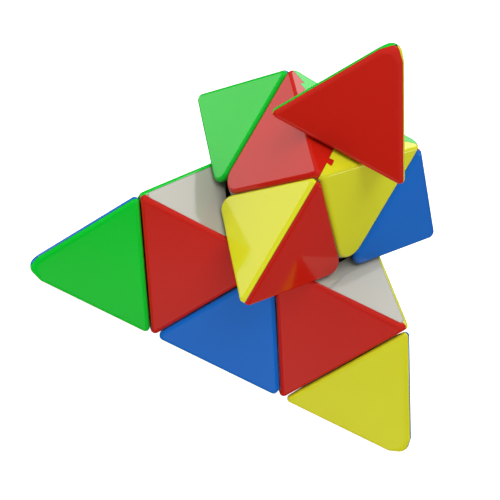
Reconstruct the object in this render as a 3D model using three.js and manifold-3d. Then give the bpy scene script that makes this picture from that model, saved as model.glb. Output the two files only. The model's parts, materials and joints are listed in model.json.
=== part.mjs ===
// Pyramid twisty puzzle: a regular tetrahedron cut into four tips, four axials and six edges that turn
// about the four axes through its corners. Each piece is a moulded body in snapped coloured shells.
// The origin is the centre of the ball core, where the four axes cross, and the top axis is +Z.
import * as THREE from 'three';
import { ConvexGeometry } from 'three/addons/geometries/ConvexGeometry.js';
import { mergeVertices } from 'three/addons/utils/BufferGeometryUtils.js';
import Module from 'manifold-3d';

const wasm = await Module();
wasm.setup();

// Sizes, in millimetres and degrees.

const pieceEdge = 33;             // edge of one small sharp tetrahedron; three make the sharp body edge
const pieceGap = 0.5;             // gap between two pieces that turn past each other
const tipCutDrop = 0.95;          // how far the tip cut lies below two thirds of the height
const topLayerTurn = -66;         // the top layer as it stands, seen from above, anticlockwise positive
const topTipTurn = -2.3;          // the top tip as it stands

const shellWall = 1.5;            // wall of the coloured shells
const seamGap = 0.3;              // gap between two shells of one piece
const fitGap = 0.3;               // gap between a shell and the body it covers
const edgeRadius = 1.0;           // rounding along every outer edge of a piece
const tipNoseCut = 4.2;           // what the rounded nose of a tip loses of its sharp corner
const noseShoulderCut = 0.9;      // what the shoulders beside that nose lose
const cornerCut = 0.9;            // what the other rounded corners lose

const seatRadius = 17.2;          // spherical hollow that axials and edges share around the core
const seatClearance = 0.35;       // gap between that hollow and the feet
const footThickness = 3.9;        // foot of an edge, measured along the radius
const footHalfSpan = 28;          // half the angle that a foot spans towards its two axials
const footHalfWidth = 4.4;        // half the foot across that
const ballClearance = 0.4;        // gap between the feet and the ball
const neckHalfWidth = 4.2;        // neck that joins a foot to the inside of its edge
const neckHalfDepth = 3;          // half the neck the other way, between its two axials
const neckReach = 3.5;            // how far the neck reaches above the hollow, into the head
const headReach = 7;              // how far the head rises above the hollow
const headHalfWidth = 9;          // half the wide head of the foot, which the two shells close on
const neckFit = 0.35;             // gap around the neck in the shells

const stemRadius = 4.4;           // stem of an axial, which turns on the core
const postRadius = 2.2;           // post of the core inside that stem
const postLength = 4.2;           // its length above the foot of the stem
const turnClearance = 0.35;       // running gap between post and stem
const floorThickness = 1.6;       // floor in the axial that the spring rests on
const boreRadius = 3.2;           // bore for the spring, the screw head and the tip's pin
const boreWall = 1.5;             // wall around that bore
const ribThickness = 1.4;         // ribs and side plates of the axial body
const bodyCornerCut = 2.2;        // flat on the corners of the axial body under the shells
const pegRadius = 1.6;            // locating peg inside each axial shell
const pegLength = 2.5;
const pegRoot = 0.75;             // how deep the peg is rooted in the shell's wall
const pocketLean = 2 / 3;         // lean of the pocket floors towards the outer face, over the hollow

const screwRadius = 1.1;
const screwClearance = 0.3;
const screwDepth = 6.5;           // distance of the screw's end from the centre
const headFit = 0.6;              // gap between the screw's head and the bore
const headHeight = 1.8;
const driveWidth = 0.7;           // arms of the cross recess in the head
const driveReach = 1.7;
const driveDepth = 1.0;
const springWire = 0.7;
const springFit = 0.6;            // gap between the spring and the bore
const springPitch = 1.25;
const restGap = 0.3;              // gap between parts that rest on each other along an axis

const pinFit = 0.3;               // gap between a tip's pin and the axial's bore
const pinLength = 4.4;
const pinHollow = 1.4;            // blind hole up the middle of the pin
const flangeThickness = 1.6;      // flange that holds the pin inside the tip
const ridgeRadius = 2.2;          // post above the flange
const ridgeHeight = 6;

const tabNeck = 1.6;              // dovetail on the seams of an axial's tip side
const tabHead = 2.35;
const tabReach = 1.15;
const tabPlace = 13;              // its distance from the axis
const tabGap = 0.15;

// Where the planes of the puzzle lie, from the centre.

const layerCut = pieceEdge * Math.sqrt(6) / 12;
const tipCut = 5 * layerCut - tipCutDrop;
const facePlane = 3 * layerCut;
const cornerPoint = 9 * layerCut;
const layerSide = layerCut + pieceGap / 2;      // lower side of a layer
const axialTop = tipCut - pieceGap / 2;         // tip side of an axial
const tipBase = tipCut + pieceGap / 2;          // axial side of a tip

const footOuter = seatRadius - seatClearance;
const footInner = footOuter - footThickness;
const ballRadius = footInner - ballClearance;
const stemFoot = ballRadius + ballClearance;
const postTop = stemFoot + postLength;
const floorUnder = postTop + restGap;
const floorTop = floorUnder + floorThickness;
const pinRadius = boreRadius - pinFit;
const headRadius = boreRadius - headFit;
const springRadius = boreRadius - springFit - springWire / 2;   // mean radius of the coil
const pinEnd = tipBase - pinLength;
const headTop = pinEnd - restGap;
const headUnder = headTop - headHeight;
const bodyTop = axialTop - shellWall - fitGap;
const socketEnd = facePlane - shellWall - pegLength - fitGap;

const far = 4 * pieceEdge;                      // beyond every piece
const levelShare = Math.sqrt(8) / 3;            // level part of a unit vector towards a lower corner

const ballSides = 20;                           // facets around a ball
const roundSides = 16;                          // facets around a thick rod
const screwSides = 12;                          // facets around a screw and its hole
const pegSides = 10;                            // facets around a peg and its socket
const wireSides = 5;                            // facets around the spring's wire
const coilSteps = 10;                           // steps in one turn of the spring
const closeEnough = 1e-4;                       // points nearer than this are one point

// The four corners, the four faces and the turns that repeat a piece.

const up = new THREE.Vector3(0, 0, 1);
const corners = { top: up };
for (const [name, azimuth] of [['left', 210], ['right', 330], ['back', 90]]) {
  const turn = THREE.MathUtils.degToRad(azimuth);
  corners[name] = new THREE.Vector3(levelShare * Math.cos(turn), levelShare * Math.sin(turn), -1 / 3);
}
const faces = {                                 // outward normals, named for how the faces look
  front: corners.back.clone().negate(),
  left_side: corners.right.clone().negate(),
  right_side: corners.left.clone().negate(),
  bottom: up.clone().negate(),
};

const noTurn = new THREE.Quaternion();
const halfTurnTo = (corner) => new THREE.Quaternion().setFromAxisAngle(
  up.clone().add(corners[corner]).normalize(), Math.PI);
const aboutUp = (degrees) => new THREE.Quaternion().setFromAxisAngle(up, THREE.MathUtils.degToRad(degrees));

const cornerTurns = {
  top: noTurn,
  left: halfTurnTo('left'),
  right: halfTurnTo('right'),
  back: halfTurnTo('back'),
};
const edgeTurns = {                             // the model edge lies between the top and the back corner
  top_back: noTurn,
  top_left: aboutUp(120),
  top_right: aboutUp(-120),
  left_right: halfTurnTo('left'),
  left_back: halfTurnTo('left').multiply(aboutUp(-120)),
  right_back: halfTurnTo('right').multiply(aboutUp(120)),
};

// Solids.

// A closed three.js geometry as a solid.
function solid(geometry) {
  geometry.deleteAttribute('normal');
  geometry.deleteAttribute('uv');
  const merged = mergeVertices(geometry, 1e-5);
  const indices = [...merged.index.array];
  const kept = [];
  for (let k = 0; k < indices.length; k += 3) {
    const [a, b, c] = indices.slice(k, k + 3);
    if (a !== b && b !== c && c !== a) {
      kept.push(a, b, c);
    }
  }
  return new wasm.Manifold(new wasm.Mesh({
    numProp: 3,
    vertProperties: new Float32Array(merged.attributes.position.array),
    triVerts: new Uint32Array(kept),
  }));
}

// The region behind a list of planes, each { normal, reach } with a unit normal.
function convex(planes) {
  const points = [];
  const test = (point) => planes.every((plane) => plane.normal.dot(point) <= plane.reach + 1e-6);
  for (let i = 0; i < planes.length; i += 1) {
    for (let j = i + 1; j < planes.length; j += 1) {
      for (let k = j + 1; k < planes.length; k += 1) {
        const point = meet(planes[i], planes[j], planes[k]);
        if (point && test(point) && points.every((other) => other.distanceTo(point) > closeEnough)) {
          points.push(point);
        }
      }
    }
  }
  return solid(new ConvexGeometry(points));
}

// The point where three planes meet, or null.
function meet(a, b, c) {
  const crossed = new THREE.Vector3().crossVectors(b.normal, c.normal);
  const det = a.normal.dot(crossed);
  if (Math.abs(det) < 1e-6) {
    return null;
  }
  return crossed.multiplyScalar(a.reach)
    .addScaledVector(new THREE.Vector3().crossVectors(c.normal, a.normal), b.reach)
    .addScaledVector(new THREE.Vector3().crossVectors(a.normal, b.normal), c.reach)
    .divideScalar(det);
}

const plane = (normal, reach) => ({ normal: normal.clone().normalize(), reach });
const above = (normal, height) => plane(normal.clone().negate(), -height);

// The flats that stand for the rounding along every edge between the given planes.
function roundings(planes, radius) {
  const flats = [];
  for (let i = 0; i < planes.length; i += 1) {
    for (let j = i + 1; j < planes.length; j += 1) {
      const sum = planes[i].normal.clone().add(planes[j].normal);
      const length = sum.length();
      if (length > 0.1) {
        const sharp = (planes[i].reach + planes[j].reach) / length;
        flats.push(plane(sum, sharp - radius * (2 / length - 1)));
      }
    }
  }
  return flats;
}

// A flat across the corner where the given planes meet, cut back by the given depth.
function cornerFlat(a, b, c, depth) {
  const direction = a.normal.clone().add(b.normal).add(c.normal).normalize();
  return plane(direction, direction.dot(meet(a, b, c)) - depth);
}

// A box from its lowest to its highest corner.
function block(low, high) {
  const size = high.map((value, axis) => value - low[axis]);
  const geometry = new THREE.BoxGeometry(...size);
  geometry.translate(...high.map((value, axis) => (value + low[axis]) / 2));
  return solid(geometry);
}

// A ball whose facets stay inside the radius, or outside it where it cuts a hollow.
function ball(radius, hollow = false) {
  const reach = hollow ? radius / Math.cos(Math.PI / ballSides) ** 2 : radius;
  const geometry = new THREE.SphereGeometry(reach, ballSides, ballSides / 2);
  geometry.rotateX(Math.PI / 2);
  return solid(geometry);
}

// A solid of revolution about +Z from [radius, height] pairs that close on themselves or on the axis.
function turned(profile, sides = roundSides) {
  const points = profile.map(([radius, height]) => new THREE.Vector2(radius, height));
  const geometry = new THREE.LatheGeometry(points, sides);
  geometry.rotateX(Math.PI / 2);
  return solid(geometry);
}

function rod(radius, low, high, sides) {
  return turned([[0, low], [radius, low], [radius, high], [0, high]], sides);
}

// The third of space about the top axis that holds one face, kept clear of the two seams by the margin.
function third(face, margin) {
  const outward = new THREE.Vector3(face.x, face.y, 0).normalize();
  const sides = [60, -60].map((degrees) => {
    const edge = outward.clone().applyQuaternion(aboutUp(degrees));
    const normal = new THREE.Vector3().crossVectors(edge, up).multiplyScalar(-Math.sign(degrees));
    return plane(normal, -margin);
  });
  return convex([...sides, plane(outward, far), plane(up, far), above(up, -far)]);
}

// The half of space on one side of the plane x = 0, kept clear of it by the margin.
function half(side, margin) {
  const low = side > 0 ? margin : -far;
  const high = side > 0 ? far : -margin;
  return block([low, -far, -far], [high, far, far]);
}

// A solid turned by a quaternion about the centre of the core.
function facing(shape, quaternion) {
  return shape.transform(new THREE.Matrix4().makeRotationFromQuaternion(quaternion).elements);
}

// Model corner pieces, made once on the top axis.

const upperFaces = ['front', 'left_side', 'right_side'];
const lowerCorners = [corners.left, corners.right, corners.back];
const facesAt = (reach) => upperFaces.map((name) => plane(faces[name], reach));
const sidesAt = (reach) => lowerCorners.map((corner) => plane(corner, reach));

function makeTipShells() {
  const flats = facesAt(facePlane);
  const nose = plane(up, cornerPoint - tipNoseCut);
  const shoulders = [0, 1, 2].map((k) => cornerFlat(nose, flats[k], flats[(k + 1) % 3], noseShoulderCut));
  const base = above(up, tipBase);
  const heels = [0, 1, 2].map((k) => cornerFlat(base, flats[k], flats[(k + 1) % 3], cornerCut));
  const outside = convex([...flats, base, nose, ...shoulders, ...heels,
    ...roundings([...flats, base], edgeRadius)]);
  const inside = convex([...facesAt(facePlane - shellWall), above(up, tipBase + shellWall)]);
  const pinHole = rod(boreRadius, 0, tipBase + 2 * shellWall);
  const skin = outside.subtract(inside).subtract(pinHole);
  return upperFaces.map((name) => skin.intersect(third(faces[name], seamGap / 2)));
}

function makeTipBody() {
  const flangeFoot = tipBase + shellWall + restGap;
  const flangeTop = flangeFoot + flangeThickness;
  const flangeRadius = (facePlane - shellWall - flangeTop / 3) / levelShare - fitGap;
  return turned([
    [0, flangeFoot], [pinHollow, flangeFoot], [pinHollow, pinEnd], [pinRadius, pinEnd],
    [pinRadius, flangeFoot], [flangeRadius, flangeFoot], [flangeRadius, flangeTop],
    [ridgeRadius, flangeTop], [ridgeRadius, flangeTop + ridgeHeight], [0, flangeTop + ridgeHeight],
  ]);
}

// The flats across the three corners of an axial that lie on the edges of the big tetrahedron.
function axialCornerFlats(depth) {
  return lowerCorners.map((corner) => {
    const outward = corner.clone().add(up).normalize();
    return plane(outward, cornerPoint / Math.sqrt(3) - depth);
  });
}

// One dovetail on the seam at the given azimuth, grown on every side by the margin.
function makeTab(azimuth, margin) {
  const root = -seamGap;
  const neck = tabNeck / 2 + margin;
  const head = tabHead / 2 + margin;
  const reach = tabReach + margin;
  const outline = new THREE.Shape([
    new THREE.Vector2(tabPlace - neck, root), new THREE.Vector2(tabPlace + neck, root),
    new THREE.Vector2(tabPlace + head, reach), new THREE.Vector2(tabPlace - head, reach),
  ]);
  const tab = new THREE.ExtrudeGeometry(outline, { depth: shellWall, bevelEnabled: false });
  tab.translate(0, 0, axialTop - shellWall);
  tab.rotateZ(THREE.MathUtils.degToRad(azimuth));
  return solid(tab);
}

// A rod square to one outer face of the model axial and through that face's centre, between two heights
// along the face's normal.
function faceRod(face, radius, low, high) {
  const centre = 3 * layerCut;
  const turn = new THREE.Quaternion().setFromUnitVectors(up, face);
  return facing(rod(radius, low - centre / 3, high - centre / 3, pegSides), turn).translate([0, 0, centre]);
}

function makeAxialShells() {
  const planes = [...facesAt(facePlane), ...sidesAt(layerCut - pieceGap / 2),
    plane(up, axialTop), above(up, layerSide)];
  const outside = convex([...planes, ...roundings(planes, edgeRadius)]);
  const inside = convex([...facesAt(facePlane - shellWall), plane(up, axialTop - shellWall),
    ...axialCornerFlats(bodyCornerCut - fitGap), above(up, -far)]);
  const skin = outside.subtract(inside).subtract(rod(boreRadius, 0, far));
  return upperFaces.map((name) => {
    const face = faces[name];
    const azimuth = THREE.MathUtils.radToDeg(Math.atan2(face.y, face.x));
    const wallInside = facePlane - shellWall;
    return skin.intersect(third(face, seamGap / 2))
      .add(makeTab(azimuth + 60, 0))
      .subtract(makeTab(azimuth - 60, tabGap))
      .add(faceRod(face, pegRadius, wallInside - pegLength, wallInside + pegRoot));
  });
}

// The two pockets behind one outer face, either side of a web that carries the socket for the shell's peg.
function makePockets(face) {
  const seatward = up.clone().addScaledVector(face, pocketLean).normalize();
  const room = convex([...sidesAt(layerCut - pieceGap / 2 - ribThickness),
    plane(up, bodyTop - ribThickness), above(up, layerSide + ribThickness),
    above(seatward, seatRadius + ribThickness), plane(face, far)]);
  const web = block([0, -ribThickness / 2, 0], [far, ribThickness / 2, far]);
  const socket = faceRod(face, pegRadius + fitGap + ribThickness, socketEnd - ribThickness, far);
  const azimuth = Math.atan2(face.y, face.x);
  return room.intersect(third(face, ribThickness / 2))
    .subtract(rod(boreRadius + boreWall, 0, far))
    .subtract(web.rotate([0, 0, THREE.MathUtils.radToDeg(azimuth)]))
    .subtract(socket);
}

function makeAxialBody() {
  const outside = convex([...facesAt(facePlane - shellWall - fitGap), ...sidesAt(layerCut - pieceGap / 2),
    plane(up, bodyTop), above(up, layerSide), ...axialCornerFlats(bodyCornerCut)]);
  let body = outside.subtract(ball(seatRadius, true));
  for (const name of upperFaces) {
    body = body.subtract(makePockets(faces[name]))
      .subtract(faceRod(faces[name], pegRadius + fitGap, socketEnd, far));
  }
  return body
    .add(rod(stemRadius, stemFoot, floorTop))
    .subtract(rod(postRadius + turnClearance, 0, floorUnder))
    .subtract(rod(screwRadius + turnClearance, 0, far, screwSides))
    .subtract(rod(boreRadius, floorTop, far));
}

function makeScrew() {
  const shank = rod(screwRadius, screwDepth, headUnder + headHeight / 2, screwSides);
  const head = rod(headRadius, headUnder, headTop);
  const arms = [[driveReach, driveWidth / 2], [driveWidth / 2, driveReach]].map(([x, y]) => (
    block([-x, -y, headTop - driveDepth], [x, y, headTop + driveDepth])));
  return shank.add(head).subtract(arms[0].add(arms[1]));
}

class Helix extends THREE.Curve {
  constructor(radius, low, high, turns) {
    super();
    Object.assign(this, { radius, low, high, turns });
  }

  getPoint(t, target = new THREE.Vector3()) {
    const angle = 2 * Math.PI * this.turns * t;
    const height = this.low + (this.high - this.low) * t;
    return target.set(this.radius * Math.cos(angle), this.radius * Math.sin(angle), height);
  }
}

function makeSpring() {
  const low = floorTop + restGap + springWire / 2;
  const high = headUnder - restGap - springWire / 2;
  const turns = (high - low) / springPitch;
  const rim = new THREE.EllipseCurve(0, 0, springWire / 2, springWire / 2).getPoints(wireSides);
  const section = new THREE.Shape(rim.slice(0, wireSides));
  return solid(new THREE.ExtrudeGeometry(section, {
    extrudePath: new Helix(springRadius, low, high, turns),
    steps: Math.ceil(turns * coilSteps),
    curveSegments: 1,
  }));
}

function makeCore() {
  const drilled = rod(screwRadius + screwClearance, screwDepth - restGap, far, screwSides);
  const post = rod(postRadius, 0, postTop);
  let core = ball(ballRadius);
  for (const turn of Object.values(cornerTurns)) {
    core = core.add(facing(post, turn));
  }
  for (const turn of Object.values(cornerTurns)) {
    core = core.subtract(facing(drilled, turn));
  }
  return core;
}

// Model edge, made once between the top and the back corner.

const edgeOut = up.clone().add(corners.back).normalize();
const edgeAlong = up.clone().sub(corners.back).normalize();
const sideways = new THREE.Vector3(1, 0, 0);
const wedgeAt = (height) => [above(up, height), above(corners.back, height)];
const edgeFacesAt = (reach) => [plane(faces.right_side, reach), plane(faces.left_side, reach)];
const widthOf = (value) => [plane(sideways, value), above(sideways, -value)];

// The neck that passes through the shells of an edge, grown by the margin. Grown by the whole fit it opens
// past the sides of the shells.
function makeNeck(margin) {
  return convex([...wedgeAt(layerSide + neckFit - 2 * margin), ...widthOf(neckHalfWidth + margin),
    plane(edgeAlong, neckHalfDepth + margin), above(edgeAlong, -neckHalfDepth - margin),
    plane(edgeOut, seatRadius + neckReach + margin), above(edgeOut, footInner)]);
}

function makeEdgeShells() {
  const planes = [...edgeFacesAt(facePlane), ...wedgeAt(layerSide)];
  const cornerFlats = [0, 1, 2, 3].map((skip) => (
    cornerFlat(...planes.filter((_, k) => k !== skip), cornerCut)));
  const outside = convex([...planes, ...cornerFlats, ...roundings(planes, edgeRadius)]);
  const inside = convex([...edgeFacesAt(facePlane - shellWall), ...wedgeAt(layerSide + shellWall),
    above(edgeOut, seatRadius + shellWall)]);
  const skin = outside.subtract(inside).subtract(ball(seatRadius, true)).subtract(makeNeck(neckFit));
  return [skin.intersect(half(1, seamGap / 2)), skin.intersect(half(-1, seamGap / 2))];
}

function makeEdgeFoot() {
  const spread = THREE.MathUtils.degToRad(footHalfSpan);
  const ends = [1, -1].map((side) => plane(edgeOut.clone().multiplyScalar(-Math.sin(spread))
    .addScaledVector(edgeAlong, side * Math.cos(spread)), 0));
  const wings = ball(footOuter).subtract(ball(footInner, true))
    .intersect(convex([...ends, ...widthOf(footHalfWidth), plane(edgeOut, far)]));
  const head = convex([...edgeFacesAt(facePlane - shellWall - fitGap),
    ...wedgeAt(layerSide + shellWall + fitGap),
    ...widthOf(headHalfWidth), above(edgeOut, seatRadius + shellWall + fitGap),
    plane(edgeOut, seatRadius + headReach)]);
  return wings.add(makeNeck(0)).add(head);
}

// Materials and assembly.

const finishes = {
  red: { color: 0xb7302b, roughness: 0.25, metalness: 0 },
  green: { color: 0x00bc2d, roughness: 0.25, metalness: 0 },
  yellow: { color: 0xcfd033, roughness: 0.25, metalness: 0 },
  blue: { color: 0x0057b0, roughness: 0.25, metalness: 0 },
  body_grey: { color: 0xc6c3b4, roughness: 0.3, metalness: 0 },
  core_grey: { color: 0x3a3d38, roughness: 0.4, metalness: 0 },
  steel: { color: 0xb8bcc0, roughness: 0.35, metalness: 1 },
};
const materials = Object.fromEntries(Object.entries(finishes)
  .map(([name, finish]) => [name, new THREE.MeshStandardMaterial(finish)]));

function meshOf(name, shape, material) {
  const { vertProperties, triVerts } = shape.getMesh();
  const geometry = new THREE.BufferGeometry();
  geometry.setAttribute('position', new THREE.BufferAttribute(new Float32Array(vertProperties), 3));
  geometry.setIndex(new THREE.BufferAttribute(new Uint32Array(triVerts), 1));
  geometry.computeVertexNormals();
  const mesh = new THREE.Mesh(geometry, materials[material]);
  mesh.name = name;
  return mesh;
}

// The face of the whole body that a model face lands on once it is turned.
function landsOn(face, turn) {
  const aim = faces[face].clone().applyQuaternion(turn);
  return Object.keys(faces).find((name) => faces[name].dot(aim) > 0.9);
}

const homeColours = { front: 'red', left_side: 'green', right_side: 'yellow', bottom: 'blue' };
const edgeColours = {
  top_left: { front: 'green', left_side: 'blue' },
  top_right: { front: 'yellow', right_side: 'red' },
  top_back: { right_side: 'blue', left_side: 'red' },
  left_right: { front: 'blue', bottom: 'yellow' },
  left_back: { left_side: 'yellow', bottom: 'green' },
  right_back: { right_side: 'green', bottom: 'red' },
};
const tipTurns = { top: topTipTurn, left: -120, right: 120, back: 0 };

const tipShells = makeTipShells();
const tipBody = makeTipBody();
const axialShells = makeAxialShells();
const axialBody = makeAxialBody();
const screw = makeScrew();
const spring = makeSpring();
const edgeShells = makeEdgeShells();
const edgeFoot = makeEdgeFoot();

const puzzle = new THREE.Group();
const topLayer = new THREE.Group();
topLayer.quaternion.copy(aboutUp(topLayerTurn));
puzzle.add(topLayer);
puzzle.add(meshOf('ball_core', makeCore(), 'core_grey'));

for (const [corner, turn] of Object.entries(cornerTurns)) {
  const fixed = new THREE.Group();
  fixed.quaternion.copy(turn);
  fixed.add(meshOf(`${corner}_screw`, screw, 'steel'));
  fixed.add(meshOf(`${corner}_spring`, spring, 'steel'));
  puzzle.add(fixed);

  const axial = new THREE.Group();
  axial.quaternion.copy(turn);
  axial.add(meshOf(`${corner}_axial_body`, axialBody, 'body_grey'));
  (corner === 'top' ? topLayer : puzzle).add(axial);

  const tip = new THREE.Group();
  tip.quaternion.copy(turn).multiply(aboutUp(tipTurns[corner]));
  tip.add(meshOf(`${corner}_tip_body`, tipBody, 'body_grey'));
  puzzle.add(tip);

  upperFaces.forEach((face, k) => {
    const colour = homeColours[landsOn(face, turn)];
    axial.add(meshOf(`${corner}_axial_shell_${colour}`, axialShells[k], colour));
    tip.add(meshOf(`${corner}_tip_shell_${colour}`, tipShells[k], colour));
  });
}

for (const [place, turn] of Object.entries(edgeTurns)) {
  const edge = new THREE.Group();
  edge.quaternion.copy(turn);
  ['right_side', 'left_side'].forEach((face, k) => {
    const colour = edgeColours[place][landsOn(face, turn)];
    edge.add(meshOf(`${place}_edge_shell_${colour}`, edgeShells[k], colour));
  });
  edge.add(meshOf(`${place}_edge_foot`, edgeFoot, 'core_grey'));
  (place.startsWith('top') ? topLayer : puzzle).add(edge);
}

export default puzzle;
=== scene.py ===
import json
import math
import bmesh
import bpy
from mathutils import Matrix, Vector
from mathutils.bvhtree import BVHTree


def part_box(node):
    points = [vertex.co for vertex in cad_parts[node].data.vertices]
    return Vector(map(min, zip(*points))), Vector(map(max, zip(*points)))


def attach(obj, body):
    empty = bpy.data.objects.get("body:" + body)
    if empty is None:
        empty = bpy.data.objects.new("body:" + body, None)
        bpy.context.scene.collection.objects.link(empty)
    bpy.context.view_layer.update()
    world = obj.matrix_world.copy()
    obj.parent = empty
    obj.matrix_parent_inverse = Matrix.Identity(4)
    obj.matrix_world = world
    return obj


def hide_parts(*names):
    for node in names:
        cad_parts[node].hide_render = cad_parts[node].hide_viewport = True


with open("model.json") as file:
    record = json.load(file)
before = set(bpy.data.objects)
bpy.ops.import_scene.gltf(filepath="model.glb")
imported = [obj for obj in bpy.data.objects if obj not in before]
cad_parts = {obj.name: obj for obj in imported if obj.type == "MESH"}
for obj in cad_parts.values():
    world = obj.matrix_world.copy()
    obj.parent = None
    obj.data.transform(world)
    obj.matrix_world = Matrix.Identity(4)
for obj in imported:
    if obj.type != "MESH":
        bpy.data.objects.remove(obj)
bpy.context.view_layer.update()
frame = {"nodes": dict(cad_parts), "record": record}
nodeBodies = {node: body for body, nodes in frame["record"]["behaviour"]["bodies"].items() for node in nodes}
print("frame loaded:", len(frame["nodes"]), "solids")

# Every length below is in millimetres; a finished mesh is scaled to metres once.
metre = 0.001
levelShare = math.sqrt(8) / 3    # level part of a unit vector towards a lower corner

# how near counts as the same
samePoint = 2e-3                 # two corners of a form
onPlane = 5e-4                   # a corner and a plane that it may lie past
onLimit = 1e-3                   # a point and the end of a flat
weld = 2e-4                      # points that a cleaned mesh joins
tinyEdge = 1e-4                  # edges that a cleaned mesh drops
onAxis = 1e-6                    # a profile's point and the axis
leastArea = 1e-6                 # a face smaller than this has no direction
leastVolume = 1e-7               # three planes that enclose less don't meet in a point
sameDirection = 0.9998           # cosine between two flats that face the same way
facesAlike = 0.9                 # cosine between a turned face and the one that it lands on


# planes of the puzzle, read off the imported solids
def heights(node):
    low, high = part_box(node)
    return low.z / metre, high.z / metre


facePlane = -heights("left_right_edge_shell_yellow")[0]    # outer face, from the centre of the core
layerCut = facePlane / 3                                   # where a layer turns on the rest
layerSide, axialTop = heights("top_axial_shell_red")
tipBase = heights("top_tip_shell_red")[0]
cornerPoint = 3 * facePlane
closeFit = 0.14                                            # the moulded skins come this much nearer at each gap
layerSide, axialTop, tipBase = layerSide - closeFit, axialTop + closeFit, tipBase - closeFit
sideCut = 2 * layerCut - layerSide                         # the other side of the gap between two layers
far = 100

up = Vector((0, 0, 1))


def cornerAt(azimuth):
    turn = math.radians(azimuth)
    return Vector((levelShare * math.cos(turn), levelShare * math.sin(turn), -1 / 3))


corners = {"top": up, "left": cornerAt(210), "right": cornerAt(330), "back": cornerAt(90)}
faces = {"front": -corners["back"], "left_side": -corners["right"],
         "right_side": -corners["left"], "bottom": -up}

asItStands = dict(topLayerTurn=-66, topTipTurn=-2.3)    # degrees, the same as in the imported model


def aboutUp(degrees):
    return Matrix.Rotation(math.radians(degrees), 4, up)


def halfTurnTo(corner):
    return Matrix.Rotation(math.pi, 4, (up + corners[corner]).normalized())


cornerTurns = {"top": Matrix.Identity(4), "left": halfTurnTo("left"),
               "right": halfTurnTo("right"), "back": halfTurnTo("back")}
edgeTurns = {"top_back": Matrix.Identity(4), "top_left": aboutUp(120), "top_right": aboutUp(-120),
             "left_right": halfTurnTo("left"), "left_back": halfTurnTo("left") @ aboutUp(-120),
             "right_back": halfTurnTo("right") @ aboutUp(120)}
tipTurns = {"top": asItStands["topTipTurn"], "left": -120, "right": 120, "back": 0}


# shared shape tools
def plane(normal, reach):
    return normal.normalized(), reach


def above(normal, height):
    return -normal.normalized(), -height


def meet(a, b, c):
    cross = b[0].cross(c[0])
    det = a[0].dot(cross)
    if abs(det) < leastVolume:
        return None
    return (cross * a[1] + c[0].cross(a[0]) * b[1] + a[0].cross(b[0]) * c[1]) / det


def roundedOutline(points, radii, steps=10):
    # a flat outline with each corner rounded to its own radius
    outline = []
    for k, corner in enumerate(points):
        back = (points[k - 1] - corner).normalized()
        ahead = (points[(k + 1) % len(points)] - corner).normalized()
        radius = radii[k]
        if radius <= 0:
            outline.append(corner)
            continue
        halfAngle = back.angle(ahead) / 2
        centre = corner + (back + ahead).normalized() * radius / math.sin(halfAngle)
        start = corner + back * radius / math.tan(halfAngle) - centre
        end = corner + ahead * radius / math.tan(halfAngle) - centre
        for step in range(steps + 1):
            outline.append(centre + start.slerp(end, step / steps, start) * radius)
    return outline


def tile(face, around, radii):
    # outline of one flat of a piece, between its neighbour planes, with rounded corners
    count = len(around)
    points = [meet(face, around[k], around[(k + 1) % count]) for k in range(count)]
    return roundedOutline(points, radii)


def towards(face, other):
    # in the plane of one flat, square to its edge with another and out of the flat
    return (other - face * face.dot(other)).normalized()


def softLimit(face, other, inset):
    # where a flat ends because the edge to its neighbour is rounded more than the others
    outward = towards(face[0], other[0])
    edgePoint = meet(face, other, plane(face[0].cross(other[0]), 0))
    return plane(outward, outward.dot(edgePoint) - inset)


def softEdge(outline, face, other, limit, inset, tightness=1.5, steps=8):
    # the extra rounding of that edge, a conic from one flat to the other at both ends of the straight side
    points = []
    for start in outline:
        if abs(limit[0].dot(start) - limit[1]) < onLimit:
            ridge = start + towards(face[0], other[0]) * inset
            end = ridge - towards(other[0], face[0]) * inset
            for step in range(steps + 1):
                t = step / steps
                weights = ((1 - t) ** 2, 2 * tightness * t * (1 - t), t ** 2)
                points.append((start * weights[0] + ridge * weights[1] + end * weights[2]) / sum(weights))
    return points


def hullOf(points):
    form = bmesh.new()
    for point in points:
        form.verts.new(point)
    made = bmesh.ops.convex_hull(form, input=form.verts)
    loose = {part for key in ("geom_interior", "geom_unused") for part in made[key]
             if isinstance(part, bmesh.types.BMVert)}
    bmesh.ops.delete(form, geom=[v for v in form.verts if v in loose or not v.link_faces], context="VERTS")
    bmesh.ops.recalc_face_normals(form, faces=form.faces)
    return form


def directionsAt(vertex, flats, steps=6):
    # outward directions that a rounding sweeps at one corner of the inner form
    normals = [face.normal for face in vertex.link_faces if face.calc_area() > leastArea]
    found = [flat for flat in flats if any(flat.dot(normal) > sameDirection for normal in normals)]
    others = [normal for normal in normals if all(flat.dot(normal) < sameDirection for flat in flats)]
    if others:
        middle = sum(others, Vector()).normalized()
        if all(flat.dot(middle) < sameDirection for flat in found):
            found.append(middle)
    directions = []
    for i, a in enumerate(found):
        for j, b in enumerate(found[i:], i):
            for c in found[j:]:
                if len({i, j}) < 2 and c is not a and len(found) > 1:
                    continue
                for p in range(steps + 1):
                    for q in range(steps + 1 - p):
                        directions.append((a * p + b * q + c * (steps - p - q)).normalized())
    return directions + others


def rounded(tiles, flats, radius, flatAngle=0.2):
    # convex form through the tiles, grown by a ball; also returns the inner form for its normals
    inner = hullOf([point for outline in tiles for point in outline])
    bmesh.ops.remove_doubles(inner, verts=inner.verts, dist=tinyEdge)
    points = []
    for vertex in inner.verts:
        points += [vertex.co + direction * radius for direction in directionsAt(vertex, flats)]
    outer = hullOf(points)
    bmesh.ops.remove_doubles(outer, verts=outer.verts, dist=weld)
    bmesh.ops.dissolve_limit(outer, angle_limit=math.radians(flatAngle), verts=outer.verts, edges=outer.edges)
    tree = BVHTree.FromBMesh(inner)
    inner.free()
    return meshFrom(outer), tree


def meshFrom(form):
    mesh = bpy.data.meshes.new("part")
    form.to_mesh(mesh)
    form.free()
    return mesh


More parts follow.
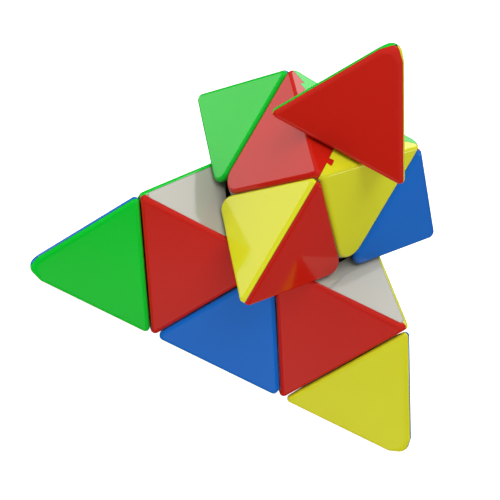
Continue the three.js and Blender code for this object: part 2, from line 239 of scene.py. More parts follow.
def convex(planes, flatAngle=0.05):
    points = []
    for i, a in enumerate(planes):
        for j, b in enumerate(planes[i + 1:], i + 1):
            for c in planes[j + 1:]:
                point = meet(a, b, c)
                if point and all(n.dot(point) <= reach + onPlane for n, reach in planes):
                    points.append(point)
    distinct = [point for k, point in enumerate(points)
                if all((point - other).length > samePoint for other in points[:k])]
    form = hullOf(distinct)
    bmesh.ops.dissolve_limit(form, angle_limit=math.radians(flatAngle), verts=form.verts, edges=form.edges)
    return meshFrom(form)


def prism(outline, low, high):
    # upright prism over an outline of (x, y) pairs
    form = bmesh.new()
    rings = [[form.verts.new((x, y, z)) for x, y in outline] for z in (low, high)]
    count = len(outline)
    form.faces.new(rings[0][::-1])
    form.faces.new(rings[1])
    for k in range(count):
        following = (k + 1) % count
        form.faces.new((rings[0][k], rings[0][following], rings[1][following], rings[1][k]))
    bmesh.ops.recalc_face_normals(form, faces=form.faces)
    return meshFrom(form)


def turned(profile, steps=64):
    # solid of revolution about +Z; the profile starts and ends on the axis
    form = bmesh.new()
    rings = []
    for radius, height in profile:
        if radius < onAxis:
            rings.append([form.verts.new((0, 0, height))])
        else:
            angles = [2 * math.pi * k / steps for k in range(steps)]
            rings.append([form.verts.new((radius * math.cos(a), radius * math.sin(a), height)) for a in angles])
    for below, over in zip(rings, rings[1:]):
        for k in range(steps):
            following = (k + 1) % steps
            loop = [below[k % len(below)], below[following % len(below)],
                    over[following % len(over)], over[k % len(over)]]
            loop = list(dict.fromkeys(loop))
            if len(loop) > 2:
                form.faces.new(loop)
    bmesh.ops.recalc_face_normals(form, faces=form.faces)
    return meshFrom(form)


def rod(radius, low, high, steps=48):
    return turned([(0, low), (radius, low), (radius, high), (0, high)], steps)


def ball(radius, rows=48):
    angles = [math.pi * k / rows for k in range(rows + 1)]
    profile = [(radius * math.sin(a), -radius * math.cos(a)) for a in angles]
    return turned(profile, 2 * rows)


def moved(mesh, matrix):
    copy = mesh.copy()
    copy.transform(matrix)
    return copy


def addObject(name, data):
    thing = bpy.data.objects.new(name, data)
    bpy.context.scene.collection.objects.link(thing)
    return thing


def evaluated(piece):
    return bpy.data.meshes.new_from_object(piece.evaluated_get(bpy.context.evaluated_depsgraph_get()))


def combine(mesh, *steps):
    # joins ("UNION"), cuts ("DIFFERENCE") or keeps the common part ("INTERSECT") with each mesh in turn
    piece = addObject("work", mesh)
    helpers = []
    for operation, other in steps:
        helper = addObject("tool", other)
        helpers.append(helper)
        modifier = piece.modifiers.new("step", "BOOLEAN")
        modifier.operation = operation
        modifier.solver = "MANIFOLD"
        modifier.object = helper
    result = evaluated(piece)
    for thing in [piece, *helpers]:
        bpy.data.objects.remove(thing)
    return result


def cleaned(mesh):
    form = bmesh.new()
    form.from_mesh(mesh)
    bmesh.ops.remove_doubles(form, verts=form.verts, dist=weld)
    bmesh.ops.dissolve_degenerate(form, dist=tinyEdge, edges=form.edges)
    bmesh.ops.triangulate(form, faces=[face for face in form.faces if len(face.verts) > 4])
    return meshFrom(form)


# which faces lie on a rounding or a sphere: shares of its radius, and cosines to its normal
shading = dict(nearest=0.9, farthest=1.02, alongRounding=0.93, leastReach=0.5, sphereBand=0.012, alongSphere=0.97)


def shade(mesh, tree=None, radius=0.0, spheres=(), crease=30):
    # flats stay flat, roundings and spheres take their true normals
    mesh = cleaned(mesh)
    mesh.shade_smooth()
    mesh.set_sharp_from_angle(angle=math.radians(crease))
    normals = [Vector(corner.vector) for corner in mesh.corner_normals]
    for face in mesh.polygons:
        centre, out = face.center, face.normal
        if tree:
            near = tree.find_nearest(centre)[0]
            away = centre - near
            inBand = shading["nearest"] * radius < away.length < shading["farthest"] * radius
            if inBand and away.normalized().dot(out) > shading["alongRounding"]:
                for loop in face.loop_indices:
                    point = mesh.vertices[mesh.loops[loop].vertex_index].co
                    direction = point - tree.find_nearest(point)[0]
                    if direction.length > shading["leastReach"] * radius:
                        normals[loop] = direction.normalized()
                continue
        for sphere in spheres:
            inBand = abs(centre.length - sphere) < shading["sphereBand"] * sphere
            if inBand and abs(centre.normalized().dot(out)) > shading["alongSphere"]:
                side = 1 if centre.dot(out) > 0 else -1
                for loop in face.loop_indices:
                    normals[loop] = mesh.vertices[mesh.loops[loop].vertex_index].co.normalized() * side
                break
    mesh.normals_split_custom_set(normals)
    return mesh


def third(face, margin):
    # the third of space about the top axis that holds one face, clear of both seams
    outward = Vector((face.x, face.y, 0)).normalized()
    sides = []
    for degrees in (60, -60):
        edge = aboutUp(degrees) @ outward
        sides.append(plane(edge.cross(up) * -math.copysign(1, degrees), -margin))
    return convex([*sides, plane(outward, far), plane(up, far), above(up, -far)])


# materials
def linear(code):
    values = [int(code[k:k + 2], 16) / 255 for k in (1, 3, 5)]
    return tuple(v / 12.92 if v <= 0.04045 else ((v + 0.055) / 1.055) ** 2.4 for v in values) + (1,)


def addNode(tree, kind, settings, links=()):
    node = tree.nodes.new(kind)
    for name, value in settings.items():
        if isinstance(name, str) and hasattr(node, name):
            setattr(node, name, value)
        else:
            node.inputs[name].default_value = value
    for socket, source in dict(links).items():
        tree.links.new(source, node.inputs[socket])
    return node


def emptyMaterial(name):
    material = bpy.data.materials.new(name)
    material.use_nodes = True
    material.node_tree.nodes.clear()
    return material, material.node_tree


def noise(tree, place, size, detail):
    return addNode(tree, "ShaderNodeTexNoise", {"Scale": 1 / (size * metre), "Detail": detail},
                   {"Vector": place.outputs["Object"]})


def mixed(tree, finish, factor):
    return addNode(tree, "ShaderNodeMix",
                   {"data_type": "RGBA", 6: linear(finish["dark"]), 7: linear(finish["light"])},
                   {0: factor.outputs["Fac"]})


def unevenGloss(tree, finish, factor):
    low, high = finish["gloss"]
    return addNode(tree, "ShaderNodeMapRange", {"To Min": low, "To Max": high}, {"Value": factor.outputs["Fac"]})


def mouldedPlastic(name, finish):
    material, tree = emptyMaterial(name)
    place = addNode(tree, "ShaderNodeTexCoord", {})
    # the resin's pigment drifts a little over centimetres
    colour = mixed(tree, finish, noise(tree, place, finish["flowSize"], 3.0))
    # polish of the mould: slightly uneven gloss
    gloss = unevenGloss(tree, finish, noise(tree, place, finish["polishSize"], 4.0))
    skin = noise(tree, place, finish["skinSize"], 2.0)
    bump = addNode(tree, "ShaderNodeBump",
                   {"Strength": finish["skinStrength"], "Distance": finish["skinDepth"] * metre},
                   {"Height": skin.outputs["Fac"]})
    shader = addNode(tree, "ShaderNodeBsdfPrincipled", {"IOR": finish["ior"]},
                     {"Base Color": colour.outputs[2], "Roughness": gloss.outputs[0], "Normal": bump.outputs[0]})
    addNode(tree, "ShaderNodeOutputMaterial", {}, {"Surface": shader.outputs[0]})
    return material


# ABS moulded in a polished tool: even saturated colour under a clear, soft-edged shine
shellFinish = dict(ior=1.5, gloss=(0.07, 0.1), flowSize=22, polishSize=6,
                   skinSize=1.6, skinStrength=0.05, skinDepth=0.02)
absPlastic = {
    "red": mouldedPlastic("moulded_abs_red", dict(shellFinish, dark="#ab170a", light="#b31a0d")),
    "green": mouldedPlastic("moulded_abs_green", dict(shellFinish, dark="#00ad22", light="#00b628")),
    "yellow": mouldedPlastic("moulded_abs_yellow", dict(shellFinish, dark="#bfbf1c", light="#c7c722")),
    "blue": mouldedPlastic("moulded_abs_blue", dict(shellFinish, dark="#045ab0", light="#0660ba")),
}
# uncoloured ABS of the bodies under the shells: warm pale grey, as glossy as the shells
bodyPlastic = mouldedPlastic("moulded_abs_pale_grey", dict(shellFinish, dark="#908e84", light="#98968c"))
# nylon of the core and feet, textured tool: dark and satin so that it runs dry
corePlastic = mouldedPlastic("satin_nylon_dark_grey", dict(shellFinish, dark="#636562", light="#6e706c",
                                                           gloss=(0.4, 0.52), skinSize=0.6, skinStrength=0.3))


def metal(name, finish):
    material, tree = emptyMaterial(name)
    place = addNode(tree, "ShaderNodeTexCoord", {})
    grain = noise(tree, place, finish["grainSize"], 5.0)
    colour, gloss = mixed(tree, finish, grain), unevenGloss(tree, finish, grain)
    shader = addNode(tree, "ShaderNodeBsdfPrincipled", {"Metallic": 1.0},
                     {"Base Color": colour.outputs[2], "Roughness": gloss.outputs[0]})
    addNode(tree, "ShaderNodeOutputMaterial", {}, {"Surface": shader.outputs[0]})
    return material


# zinc-plated steel: bluish bright metal with a faint crystalline patchiness
zincPlated = metal("zinc_plated_steel", dict(dark="#a9aeb4", light="#c4c8cc", gloss=(0.25, 0.4), grainSize=0.5))
# drawn spring wire: darker steel, smoother along the wire
springWire = metal("drawn_spring_steel", dict(dark="#8d9094", light="#a5a8ab", gloss=(0.2, 0.32), grainSize=0.3))
print("materials ready")


# placing finished pieces
def place(name, mesh, turn, node, material, slot):
    mesh = mesh.copy()
    mesh.transform(Matrix.Scale(metre, 4) @ turn)
    mesh.materials.clear()
    mesh.materials.append(material)
    mesh.name = name
    piece = addObject(name, mesh)
    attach(piece, nodeBodies[node])
    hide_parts(node)


upperFaces = ["front", "left_side", "right_side"]
faceTurns = {"front": 0, "left_side": -120, "right_side": 120}      # from the front face, about the top axis
lowerCorners = [corners["left"], corners["right"], corners["back"]]


def landsOn(face, turn):
    aim = turn.to_3x3() @ faces[face]
    return next(name for name, normal in faces.items() if normal.dot(aim) > facesAlike)


leastCorner = 0.1                                       # radius of a flat's corner that is all but sharp


def threeWays(outline):
    return [[aboutUp(degrees) @ point for point in outline] for degrees in (0, 120, 240)]


# tips
tipSizes = dict(fillet=0.9, softening=0.85, noseRadius=3.65, crown=56.25, heelRadius=1.25, wall=1.2, seam=0.08,
                boreRadius=3.2, pinRadius=2.9, pinLength=4.4, pinHollow=1.4, hollowRise=1, flange=1.6,
                ridgeRadius=2.2, ridgeHeight=6, fit=0.3, ease=0.25)


def noseBall(top, reach, ringStep=12, lastRing=84, pointStep=15):
    # points of the ball that touches the three flats, which lie at the given reach, and ends at the given top
    radius = (3 * reach - top) / 2
    centre = up * (top - radius)
    points = [centre + up * radius]
    for polar in range(ringStep, lastRing + 1, ringStep):
        tilt = math.radians(polar)
        for azimuth in range(0, 360, pointStep):
            side = aboutUp(azimuth) @ Vector((math.sin(tilt), 0, math.cos(tilt)))
            points.append(centre + side * radius)
    return points


def makeTipShell():
    s = tipSizes
    r = s["fillet"]
    outer = [plane(faces[name], facePlane - r) for name in upperFaces]
    base = above(up, tipBase + r)
    inset = s["softening"]
    nose, heel = s["noseRadius"] - r, s["heelRadius"] - r
    limits = [softLimit(outer[0], outer[k], inset) for k in (2, 1)]
    frontTile = tile(outer[0], [base, *limits], [leastCorner, nose - inset, leastCorner])
    rounding = softEdge(frontTile, outer[0], outer[2], limits[0], inset)
    baseTile = tile(base, outer, [heel] * 3)
    crown = noseBall(s["crown"] - r, facePlane - r)
    flats = [faces[name] for name in upperFaces] + [-up]
    body, tree = rounded([*threeWays(frontTile), *threeWays(rounding), baseTile, crown], flats, r)
    inside = convex([*[plane(faces[name], facePlane - s["wall"]) for name in upperFaces],
                     above(up, tipBase + s["wall"])])
    shell = combine(body, ("DIFFERENCE", inside), ("DIFFERENCE", rod(s["boreRadius"], 0, tipBase + 2 * s["wall"])),
                    ("INTERSECT", third(faces["front"], s["seam"] / 2)))
    return shade(shell, tree, r)


def makeTipBody():
    s = tipSizes
    foot = tipBase + s["wall"] + s["fit"]
    top = foot + s["flange"]
    end = tipBase - s["pinLength"]
    flangeRadius = (facePlane - s["wall"] - top / 3) / levelShare - s["fit"]
    ease, hollowTop = s["ease"], foot + s["hollowRise"]
    return shade(turned([
        (0, hollowTop), (s["pinHollow"], hollowTop), (s["pinHollow"], end), (s["pinRadius"] - ease, end),
        (s["pinRadius"], end + ease), (s["pinRadius"], foot),
        (flangeRadius - ease, foot), (flangeRadius, foot + ease),
        (flangeRadius, top - ease), (flangeRadius - ease, top), (s["ridgeRadius"], top),
        (s["ridgeRadius"], top + s["ridgeHeight"] - ease), (s["ridgeRadius"] - ease, top + s["ridgeHeight"]),
        (0, top + s["ridgeHeight"])]))


# axials
axialSizes = dict(fillet=0.9, centreRadius=4.0, rimRadius=1.9, wall=0.8, seam=0.08, fit=0.08,
                  seatRadius=17.5, bodyCorner=2.45, boreRadius=3.2, boreWall=1.5, rib=1.4,
                  tabNeck=1.63, tabHead=2.35, tabReach=1.15, tabPlace=13.0, tabGap=0.05, tabRounding=0.25,
                  tabRoot=0.4, tabSink=0.01, cutPast=1,
                  stemRadius=4.4, stemFoot=12.95, postRadius=2.2, postTop=17.15, floorThickness=1.6,
                  postFit=0.3, screwRadius=1.1, running=0.35, peg=1.6, pegLength=2.5, pegFit=0.3, socketFloor=2)


def axialOutside():
    s = axialSizes
    r = s["fillet"]
    outer = [plane(faces[name], facePlane - r) for name in upperFaces]
    left, right, back = [plane(corner, sideCut - r) for corner in lowerCorners]
    top, bottom = plane(up, axialTop - r), above(up, layerSide + r)
    centre, rim = s["centreRadius"] - r, s["rimRadius"] - r
    frontTile = tile(outer[0], [top, right, left], [rim, centre, rim])
    topTile = tile(top, [outer[0], outer[2], outer[1]], [rim] * 3)
    bottomTile = tile(bottom, [left, right, back], [centre] * 3)
    flats = [*faces.values(), up, *lowerCorners]
    return rounded([*threeWays(frontTile), topTile, bottomTile], flats, r)


def axialCornerFlats(depth):
    return [plane(corner + up, cornerPoint / math.sqrt(3) - depth) for corner in lowerCorners]


def makeTab(azimuth, margin, low, high):
    s = axialSizes
    neck, head, reach = s["tabNeck"] / 2 + margin, s["tabHead"] / 2 + margin, s["tabReach"] + margin
    x = s["tabPlace"]
    root = -s["tabRoot"]
    points = [Vector((x - neck, root, 0)), Vector((x + neck, root, 0)),
              Vector((x + head, reach, 0)), Vector((x - head, reach, 0))]
    turn = s["tabRounding"] + margin
    outline = roundedOutline(points, [0, 0, turn, turn], steps=5)
    return moved(prism([(p.x, p.y) for p in outline], low, high), aboutUp(azimuth))


def faceRod(face, radius, low, high):
    centre = 3 * layerCut
    turn = up.rotation_difference(face).to_matrix().to_4x4()
    return moved(rod(radius, low - centre / 3, high - centre / 3), Matrix.Translation((0, 0, centre)) @ turn)


def makeAxialShell(outside, tree):
    s = axialSizes
    face = faces["front"]
    azimuth = math.degrees(math.atan2(face.y, face.x))
    inside = convex([*[plane(faces[name], facePlane - s["wall"]) for name in upperFaces],
                     plane(up, axialTop - s["wall"]), *axialCornerFlats(s["bodyCorner"] - s["fit"]), above(up, -far)])
    tabFoot, tabTop = axialTop - s["wall"] + s["tabSink"], axialTop
    pegFoot, pegTop = facePlane - s["wall"] - s["pegLength"], facePlane - s["wall"] / 2
    slot = makeTab(azimuth - 60, s["tabGap"], tabFoot - s["cutPast"], tabTop + s["cutPast"])
    shell = combine(outside.copy(), ("DIFFERENCE", inside), ("DIFFERENCE", rod(s["boreRadius"], 0, far)),
                    ("INTERSECT", third(face, s["seam"] / 2)),
                    ("UNION", makeTab(azimuth + 60, 0, tabFoot, tabTop)),
                    ("DIFFERENCE", slot), ("UNION", faceRod(face, s["peg"], pegFoot, pegTop)))
    return shade(shell, tree, s["fillet"])


def makePocket(face):
    s = axialSizes
    room = convex([*[plane(corner, sideCut - s["rib"]) for corner in lowerCorners],
                   plane(up, axialTop - s["wall"] - s["fit"] - s["rib"]), above(up, layerSide + s["rib"]),
                   above(up * 3 + face * 2, s["seatRadius"] + s["rib"]), plane(face, far)])    # a leaning floor
    outward = Vector((face.x, face.y, 0)).normalized()
    across = outward.cross(up)
    web = convex([plane(across, s["rib"] / 2), above(across, -s["rib"] / 2), plane(outward, far),
                  above(outward, 0), plane(up, far), above(up, 0)])
    socket = faceRod(face, s["peg"] + s["pegFit"] + s["rib"],
                     facePlane - s["wall"] - s["pegLength"] - s["socketFloor"], far)
    return combine(room, ("INTERSECT", third(face, s["rib"] / 2)),
                   ("DIFFERENCE", rod(s["boreRadius"] + s["boreWall"], 0, far)),
                   ("DIFFERENCE", web), ("DIFFERENCE", socket))


def makeAxialBody(outside, tree):
    s = axialSizes
    cover = convex([*[plane(faces[name], facePlane - s["wall"] - s["fit"]) for name in upperFaces],
                    plane(up, axialTop - s["wall"] - s["fit"]), *axialCornerFlats(s["bodyCorner"]), above(up, 0)])
    cuts = []
    for name in upperFaces:
        cuts.append(("DIFFERENCE", makePocket(faces[name])))
        cuts.append(("DIFFERENCE", faceRod(faces[name], s["peg"] + s["pegFit"],
                                           facePlane - s["wall"] - s["pegLength"] - s["pegFit"], far)))
    floorUnder = s["postTop"] + s["postFit"]
    floorTop = floorUnder + s["floorThickness"]
    body = combine(outside.copy(), ("INTERSECT", cover), ("DIFFERENCE", ball(s["seatRadius"])), *cuts,
                   ("UNION", rod(s["stemRadius"], s["stemFoot"], floorTop)),
                   ("DIFFERENCE", rod(s["postRadius"] + s["running"], 0, floorUnder)),
                   ("DIFFERENCE", rod(s["screwRadius"] + s["running"], 0, far)),
                   ("DIFFERENCE", rod(s["boreRadius"], floorTop, far)))
    return shade(body, tree, s["fillet"], [s["seatRadius"]])


# edges
edgeSizes = dict(fillet=0.9, softening=0.85, centreRadius=2.6, wall=1.5, seam=0.08, seatRadius=17.5,
                 neckWidth=4.2, neckDepth=3.0, neckRise=3.5, neckFit=0.35,
                 footOuter=16.85, footInner=12.95, footSpan=28, footWidth=4.4, headWidth=9, headRise=7, headFit=0.3)
edgeOut = (up + corners["back"]).normalized()
edgeAlong = (up - corners["back"]).normalized()
sideways = Vector((1, 0, 0))


def neck(margin):
    s = edgeSizes
    height = layerSide + s["neckFit"] - margin
    width, depth = s["neckWidth"] + margin, s["neckDepth"] + margin
    return convex([above(up, height), above(corners["back"], height),
                   plane(sideways, width), above(sideways, -width),
                   plane(edgeAlong, depth), above(edgeAlong, -depth),
                   plane(edgeOut, s["seatRadius"] + s["neckRise"] + margin), above(edgeOut, s["footInner"])])


def makeEdgeShell():
    s = edgeSizes
    r = s["fillet"]
    outer = [plane(faces[name], facePlane - r) for name in ("right_side", "left_side")]
    cuts = [above(up, layerSide + r), above(corners["back"], layerSide + r)]
    centre, inset = s["centreRadius"] - r, s["softening"]
    tiles = []
    for flat, other in (outer, outer[::-1]):
        limit = softLimit(flat, other, inset)
        tiles.append(tile(flat, [limit, *cuts], [leastCorner, centre, leastCorner]))
        tiles.append(softEdge(tiles[-1], flat, other, limit, inset))
    body, tree = rounded(tiles, [faces["right_side"], faces["left_side"], -up, -corners["back"]], r)
    wall = s["wall"]
    inside = convex([*[plane(faces[name], facePlane - wall) for name in ("right_side", "left_side")],
                     above(up, layerSide + wall), above(corners["back"], layerSide + wall),
                     above(edgeOut, s["seatRadius"] + wall)])
    keep = convex([above(sideways, s["seam"] / 2), plane(sideways, far), plane(up, far), above(up, -far),
                   plane(Vector((0, 1, 0)), far), above(Vector((0, 1, 0)), -far)])
    shell = combine(body, ("DIFFERENCE", inside), ("DIFFERENCE", ball(s["seatRadius"])),
                    ("DIFFERENCE", neck(s["neckFit"])), ("INTERSECT", keep))
    return shade(shell, tree, r, [s["seatRadius"]])


def makeEdgeFoot():
    s = edgeSizes
    spread = math.radians(s["footSpan"])
    ends = [plane(edgeOut * -math.sin(spread) + edgeAlong * side * math.cos(spread), 0) for side in (1, -1)]
    sector = convex([*ends, plane(sideways, s["footWidth"]), above(sideways, -s["footWidth"]), plane(edgeOut, far)])
    wings = combine(ball(s["footOuter"]), ("DIFFERENCE", ball(s["footInner"])), ("INTERSECT", sector))
    gap = s["wall"] + s["headFit"]
    head = convex([*[plane(faces[name], facePlane - gap) for name in ("right_side", "left_side")],
                   above(up, layerSide + gap), above(corners["back"], layerSide + gap),
                   plane(sideways, s["headWidth"]), above(sideways, -s["headWidth"]),
                   above(edgeOut, s["seatRadius"] + gap), plane(edgeOut, s["seatRadius"] + s["headRise"])])
    return shade(combine(wings, ("UNION", neck(0)), ("UNION", head)), spheres=[s["footOuter"], s["footInner"]])


# core
coreSizes = dict(ball=12.55, postRadius=2.2, postTop=17.15, drill=1.4, drillEnd=6.2, ease=0.3)


def makeCore():
    s = coreSizes
    ease = s["ease"]
    post = turned([(0, 0), (s["postRadius"], 0), (s["postRadius"], s["postTop"] - ease),
                   (s["postRadius"] - ease, s["postTop"]), (0, s["postTop"])])
    turns = list(cornerTurns.values())
    core = combine(ball(s["ball"]), *[("UNION", moved(post, turn)) for turn in turns],
                   *[("DIFFERENCE", moved(rod(s["drill"], s["drillEnd"], far), turn)) for turn in turns])
    return shade(core, spheres=[s["ball"]])


# screws and springs, drawn by Geometry Nodes
screwSizes = dict(radius=1.1, end=6.5, headUnder=26.48, headTop=28.28, headRadius=2.6, thread=0.5, depth=0.16,
                  armWidth=0.7, armReach=1.7, armDepth=1.0, domeFoot=0.6, rim=0.15,
                  pointShare=0.5, pointLength=0.8, threadFrom=0.9, threadTo=9.0)
springSizes = dict(radius=2.25, wire=0.7, pitch=1.25, low=19.7, high=25.83)


def groupInput(group, name, kind, value):
    socket = group.interface.new_socket(name=name, in_out="INPUT", socket_type=kind)
    socket.default_value = value
    return socket.identifier


def coilTree(name):
    # a wire or a thread ridge wound about +Z, with an optional body joined to it
    group = bpy.data.node_groups.new(name, "GeometryNodeTree")
    group.interface.new_socket(name="Body", in_out="INPUT", socket_type="NodeSocketGeometry")
    ids = {key: groupInput(group, key, "NodeSocketFloat", 1.0) for key in ("Radius", "Wire", "Pitch", "Low", "High")}
    ids["Sides"] = groupInput(group, "Sides", "NodeSocketInt", 12)
    finish = group.interface.new_socket(name="Finish", in_out="INPUT", socket_type="NodeSocketMaterial")
    ids["Finish"] = finish.identifier
    group.interface.new_socket(name="Geometry", in_out="OUTPUT", socket_type="NodeSocketGeometry")
    given = addNode(group, "NodeGroupInput", {})
    height = addNode(group, "ShaderNodeMath", {"operation": "SUBTRACT"},
                     {0: given.outputs["High"], 1: given.outputs["Low"]})
    turns = addNode(group, "ShaderNodeMath", {"operation": "DIVIDE"},
                    {0: height.outputs[0], 1: given.outputs["Pitch"]})
    helix = addNode(group, "GeometryNodeCurveSpiral", {"Resolution": 40},
                    {"Rotations": turns.outputs[0], "Start Radius": given.outputs["Radius"],
                     "End Radius": given.outputs["Radius"], "Height": height.outputs[0]})
    lift = addNode(group, "ShaderNodeCombineXYZ", {}, {"Z": given.outputs["Low"]})
    raised = addNode(group, "GeometryNodeTransform", {},
                     {"Geometry": helix.outputs[0], "Translation": lift.outputs[0]})
    section = addNode(group, "GeometryNodeCurvePrimitiveCircle", {},
                      {"Resolution": given.outputs["Sides"], "Radius": given.outputs["Wire"]})
    coil = addNode(group, "GeometryNodeCurveToMesh", {"Fill Caps": True},
                   {"Curve": raised.outputs[0], "Profile Curve": section.outputs[0]})
    joined = addNode(group, "GeometryNodeJoinGeometry", {})
    group.links.new(given.outputs["Body"], joined.inputs[0])
    group.links.new(coil.outputs[0], joined.inputs[0])
    whole = addNode(group, "GeometryNodeRealizeInstances", {}, {"Geometry": joined.outputs[0]})
    painted = addNode(group, "GeometryNodeSetMaterial", {},
                      {"Geometry": whole.outputs[0], "Material": given.outputs["Finish"]})
    addNode(group, "NodeGroupOutput", {}, {"Geometry": painted.outputs[0]})
    return group, ids


def wound(mesh, tree, values):
    group, ids = tree
    holder = addObject("winding", mesh)
    modifier = holder.modifiers.new("coil", "NODES")
    modifier.node_group = group
    for key, value in values.items():
        modifier[ids[key]] = value
    result = evaluated(holder)
    bpy.data.objects.remove(holder)
    form = bmesh.new()
    form.from_mesh(result)
    bmesh.ops.remove_doubles(form, verts=form.verts, dist=1e-5)    # finer than the wire's steps
    bmesh.ops.recalc_face_normals(form, faces=form.faces)
    return meshFrom(form)


coil = coilTree("wire_coil")


def makeScrew():
    s = screwSizes
    domeFoot, domeSteps = s["domeFoot"], 8
    dome = [(s["headRadius"] * math.cos(a),
             s["headUnder"] + domeFoot + (s["headTop"] - s["headUnder"] - domeFoot) * math.sin(a))
            for a in [math.pi / 2 * k / domeSteps for k in range(domeSteps + 1)]]
    dome[-1] = (0, s["headTop"])
    core = s["radius"] - s["depth"]
    rim = s["rim"]
    blank = turned([(0, s["end"]), (core * s["pointShare"], s["end"]), (core, s["end"] + s["pointLength"]),
                    (core, s["headUnder"]), (s["headRadius"] - rim, s["headUnder"]),
                    (s["headRadius"], s["headUnder"] + rim), *dome])
    arms = []
    for x, y in [(s["armReach"], s["armWidth"] / 2), (s["armWidth"] / 2, s["armReach"])]:
        arm = prism([(-x, -y), (x, -y), (x, y), (-x, y)], s["headTop"] - s["armDepth"], s["headTop"] + 1)
        arms.append(("DIFFERENCE", arm))
    blank = combine(blank, *arms)
    threaded = wound(blank, coil, dict(Radius=core, Wire=s["depth"], Pitch=s["thread"],
                                       Low=s["end"] + s["threadFrom"], High=s["end"] + s["threadTo"],
                                       Sides=6, Finish=zincPlated))
    return shade(threaded)


def makeSpring():
    s = springSizes
    blank = bpy.data.meshes.new("empty")
    return shade(wound(blank, coil, dict(Radius=s["radius"], Wire=s["wire"] / 2, Pitch=s["pitch"], Low=s["low"],
                                         High=s["high"], Sides=12, Finish=springWire)), crease=60)


# building and placing everything
homeColours = {"front": "red", "left_side": "green", "right_side": "yellow", "bottom": "blue"}
edgeColours = {
    "top_left": {"front": "green", "left_side": "blue"},
    "top_right": {"front": "yellow", "right_side": "red"},
    "top_back": {"right_side": "blue", "left_side": "red"},
    "left_right": {"front": "blue", "bottom": "yellow"},
    "left_back": {"left_side": "yellow", "bottom": "green"},
    "right_back": {"right_side": "green", "bottom": "red"},
}

tipShell, tipBody = makeTipShell(), makeTipBody()
print("tip modelled")
outside, outsideTree = axialOutside()
axialShell, axialBody = makeAxialShell(outside, outsideTree), makeAxialBody(outside, outsideTree)
print("axial modelled")
edgeShell, edgeFoot = makeEdgeShell(), makeEdgeFoot()
print("edge modelled")
core, screw, spring = makeCore(), makeScrew(), makeSpring()
print("core, screw and spring modelled")

topLayer = aboutUp(asItStands["topLayerTurn"])
place("core", core, Matrix.Identity(4), "ball_core", corePlastic, "core_grey")
for corner, turn in cornerTurns.items():
    layer = topLayer if corner == "top" else Matrix.Identity(4)
    tipTurn = turn @ aboutUp(tipTurns[corner])
    place(f"{corner}_screw_threaded", screw, turn, f"{corner}_screw", zincPlated, "screw_steel")
    place(f"{corner}_spring_wound", spring, turn, f"{corner}_spring", springWire, "spring_steel")
    place(f"{corner}_axial_frame", axialBody, layer @ turn, f"{corner}_axial_body", bodyPlastic, "body_grey")
    place(f"{corner}_tip_frame", tipBody, tipTurn, f"{corner}_tip_body", bodyPlastic, "body_grey")
    for face, degrees in faceTurns.items():
        colour = homeColours[landsOn(face, turn)]
        place(f"{corner}_axial_cap_{colour}", axialShell, layer @ turn @ aboutUp(degrees),
              f"{corner}_axial_shell_{colour}", absPlastic[colour], f"{colour}_abs")
        place(f"{corner}_tip_cap_{colour}", tipShell, tipTurn @ aboutUp(degrees),
              f"{corner}_tip_shell_{colour}", absPlastic[colour], f"{colour}_abs")
halfAbout = Matrix.Rotation(math.pi, 4, edgeOut)
for name, turn in edgeTurns.items():
    layer = topLayer if name.startswith("top") else Matrix.Identity(4)
    place(f"{name}_edge_clip", edgeFoot, layer @ turn, f"{name}_edge_foot", corePlastic, "core_grey")
    for face, flip in (("right_side", Matrix.Identity(4)), ("left_side", halfAbout)):
        colour = edgeColours[name][landsOn(face, turn)]
        place(f"{name}_edge_cap_{colour}", edgeShell, layer @ turn @ flip,
              f"{name}_edge_shell_{colour}", absPlastic[colour], f"{colour}_abs")
print("pieces placed")


# camera
# heading is clockwise from +Y, dip is below the horizon, roll turns the view anticlockwise
camera = dict(heading=8.193, dip=39.975, roll=31.809, place=(-41.79, -266.58, 216.69), lens=111.13,
              sensor=36)


def makeCamera():
    s = camera
    heading, dip, roll = [math.radians(s[key]) for key in ("heading", "dip", "roll")]
    forward = Vector((math.sin(heading) * math.cos(dip), math.cos(heading) * math.cos(dip), -math.sin(dip)))
    level = Vector((forward.y, -forward.x, 0)).normalized()
    right = level * math.cos(roll) + level.cross(forward) * math.sin(roll)
    rise = right.cross(forward)
    data = bpy.data.cameras.new("camera")
    data.lens = s["lens"]
    data.sensor_width = s["sensor"]
    thing = addObject("camera", data)
    turn = Matrix((right, rise, -forward)).transposed().to_4x4()
    thing.matrix_world = Matrix.Translation(Vector(s["place"]) * metre) @ turn
    bpy.context.scene.camera = thing


makeCamera()
print("camera set")


# floor, backdrop and light
# a panel is its direction, strength, and outer and inner angle; a box its name, place, size and power
studio = dict(floorSize=20000, floorGlow=1.0, floorFibre=400.0, floorRoughness=0.9, dark="#aeaeae", light="#b6b6b6",
              low=0.04, dim=0.25, dimFrom=0.05, dimTo=0.35,
              panels=[((-0.905, 0.36, -0.225), 1.4, 19, 8), ((0.11, 0.775, 0.62), 3.05, 18, 10),
                      ((0.16, -0.93, -0.35), 0.5, 24, 14), ((0.96, 0.27, 0.05), 4.5, 8, 4),
                      ((0.94, 0.2, -0.29), 0.1, 14, 8)],
              boxes=[("overhead", (0, 100, 900), 900, 9.5), ("side", (-800, 0, 350), 600, 3.6),
                     ("front", (300, -800, 500), 600, 2.2)])


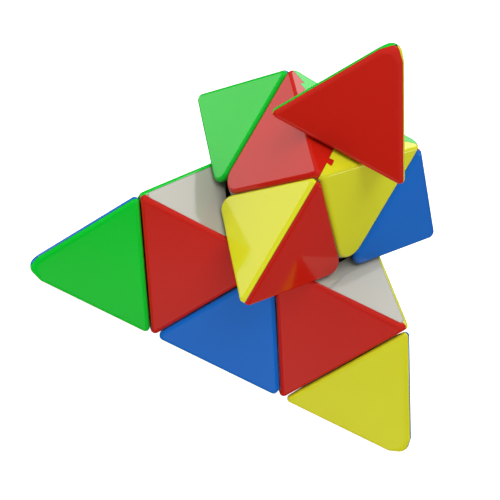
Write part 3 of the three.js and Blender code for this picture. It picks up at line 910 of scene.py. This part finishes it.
def makeFloor():
    s = studio
    form = bmesh.new()
    half = s["floorSize"] / 2 * metre
    low = -facePlane * metre
    square = ((-half, -half), (half, -half), (half, half), (-half, half))
    form.faces.new([form.verts.new((x, y, low)) for x, y in square])
    floor = addObject("floor", meshFrom(form))
    material, tree = emptyMaterial("matt_white_paper")    # flat pale paper that takes soft shadows
    where = addNode(tree, "ShaderNodeTexCoord", {})
    fibre = addNode(tree, "ShaderNodeTexNoise", {"Scale": s["floorFibre"]}, {"Vector": where.outputs["Object"]})
    colour = mixed(tree, s, fibre)
    shader = addNode(tree, "ShaderNodeBsdfPrincipled",
                     {"Roughness": s["floorRoughness"], "Emission Color": (1, 1, 1, 1),
                      "Emission Strength": s["floorGlow"]},
                     {"Base Color": colour.outputs[2]})
    addNode(tree, "ShaderNodeOutputMaterial", {}, {"Surface": shader.outputs[0]})
    floor.data.materials.append(material)
    floor.visible_glossy = False


def softbox(name, place, size, power):
    # lights the surfaces evenly; what the gloss mirrors are the panels of the room
    data = bpy.data.lights.new(name, "AREA")
    data.shape = "SQUARE"
    data.size = size * metre
    data.energy = power
    light = addObject(name, data)
    turn = (-Vector(place)).to_track_quat("-Z", "Y").to_matrix().to_4x4()
    light.matrix_world = Matrix.Translation(Vector(place) * metre) @ turn
    light.visible_glossy = False


def makeStudio():
    # a dim room with bright panels that the polished faces mirror
    s = studio
    makeFloor()
    for box in s["boxes"]:
        softbox(*box)
    world = bpy.data.worlds.new("studio")
    world.use_nodes = True
    tree = world.node_tree
    tree.nodes.clear()
    ray = addNode(tree, "ShaderNodeTexCoord", {})
    parts = addNode(tree, "ShaderNodeSeparateXYZ", {}, {"Vector": ray.outputs["Generated"]})
    total = addNode(tree, "ShaderNodeMapRange",
                    {"From Min": s["dimFrom"], "From Max": s["dimTo"], "To Min": s["low"], "To Max": s["dim"]},
                    {"Value": parts.outputs["Z"]}).outputs[0]
    for direction, strength, outer, inner in s["panels"]:
        side = addNode(tree, "ShaderNodeVectorMath",
                       {"operation": "DOT_PRODUCT", 1: Vector(direction).normalized()},
                       {0: ray.outputs["Generated"]})
        glow = addNode(tree, "ShaderNodeMapRange",
                       {"interpolation_type": "SMOOTHSTEP", "From Min": math.cos(math.radians(outer)),
                        "From Max": math.cos(math.radians(inner)), "To Max": strength},
                       {"Value": side.outputs["Value"]})
        total = addNode(tree, "ShaderNodeMath", {"operation": "ADD"}, {0: glow.outputs[0], 1: total}).outputs[0]
    sky = addNode(tree, "ShaderNodeBackground", {"Color": (1, 1, 1, 1)}, {"Strength": total})
    addNode(tree, "ShaderNodeOutputWorld", {}, {"Surface": sky.outputs[0]})
    bpy.context.scene.world = world
    bpy.context.scene.view_settings.view_transform = "Standard"


makeStudio()
print("studio set")
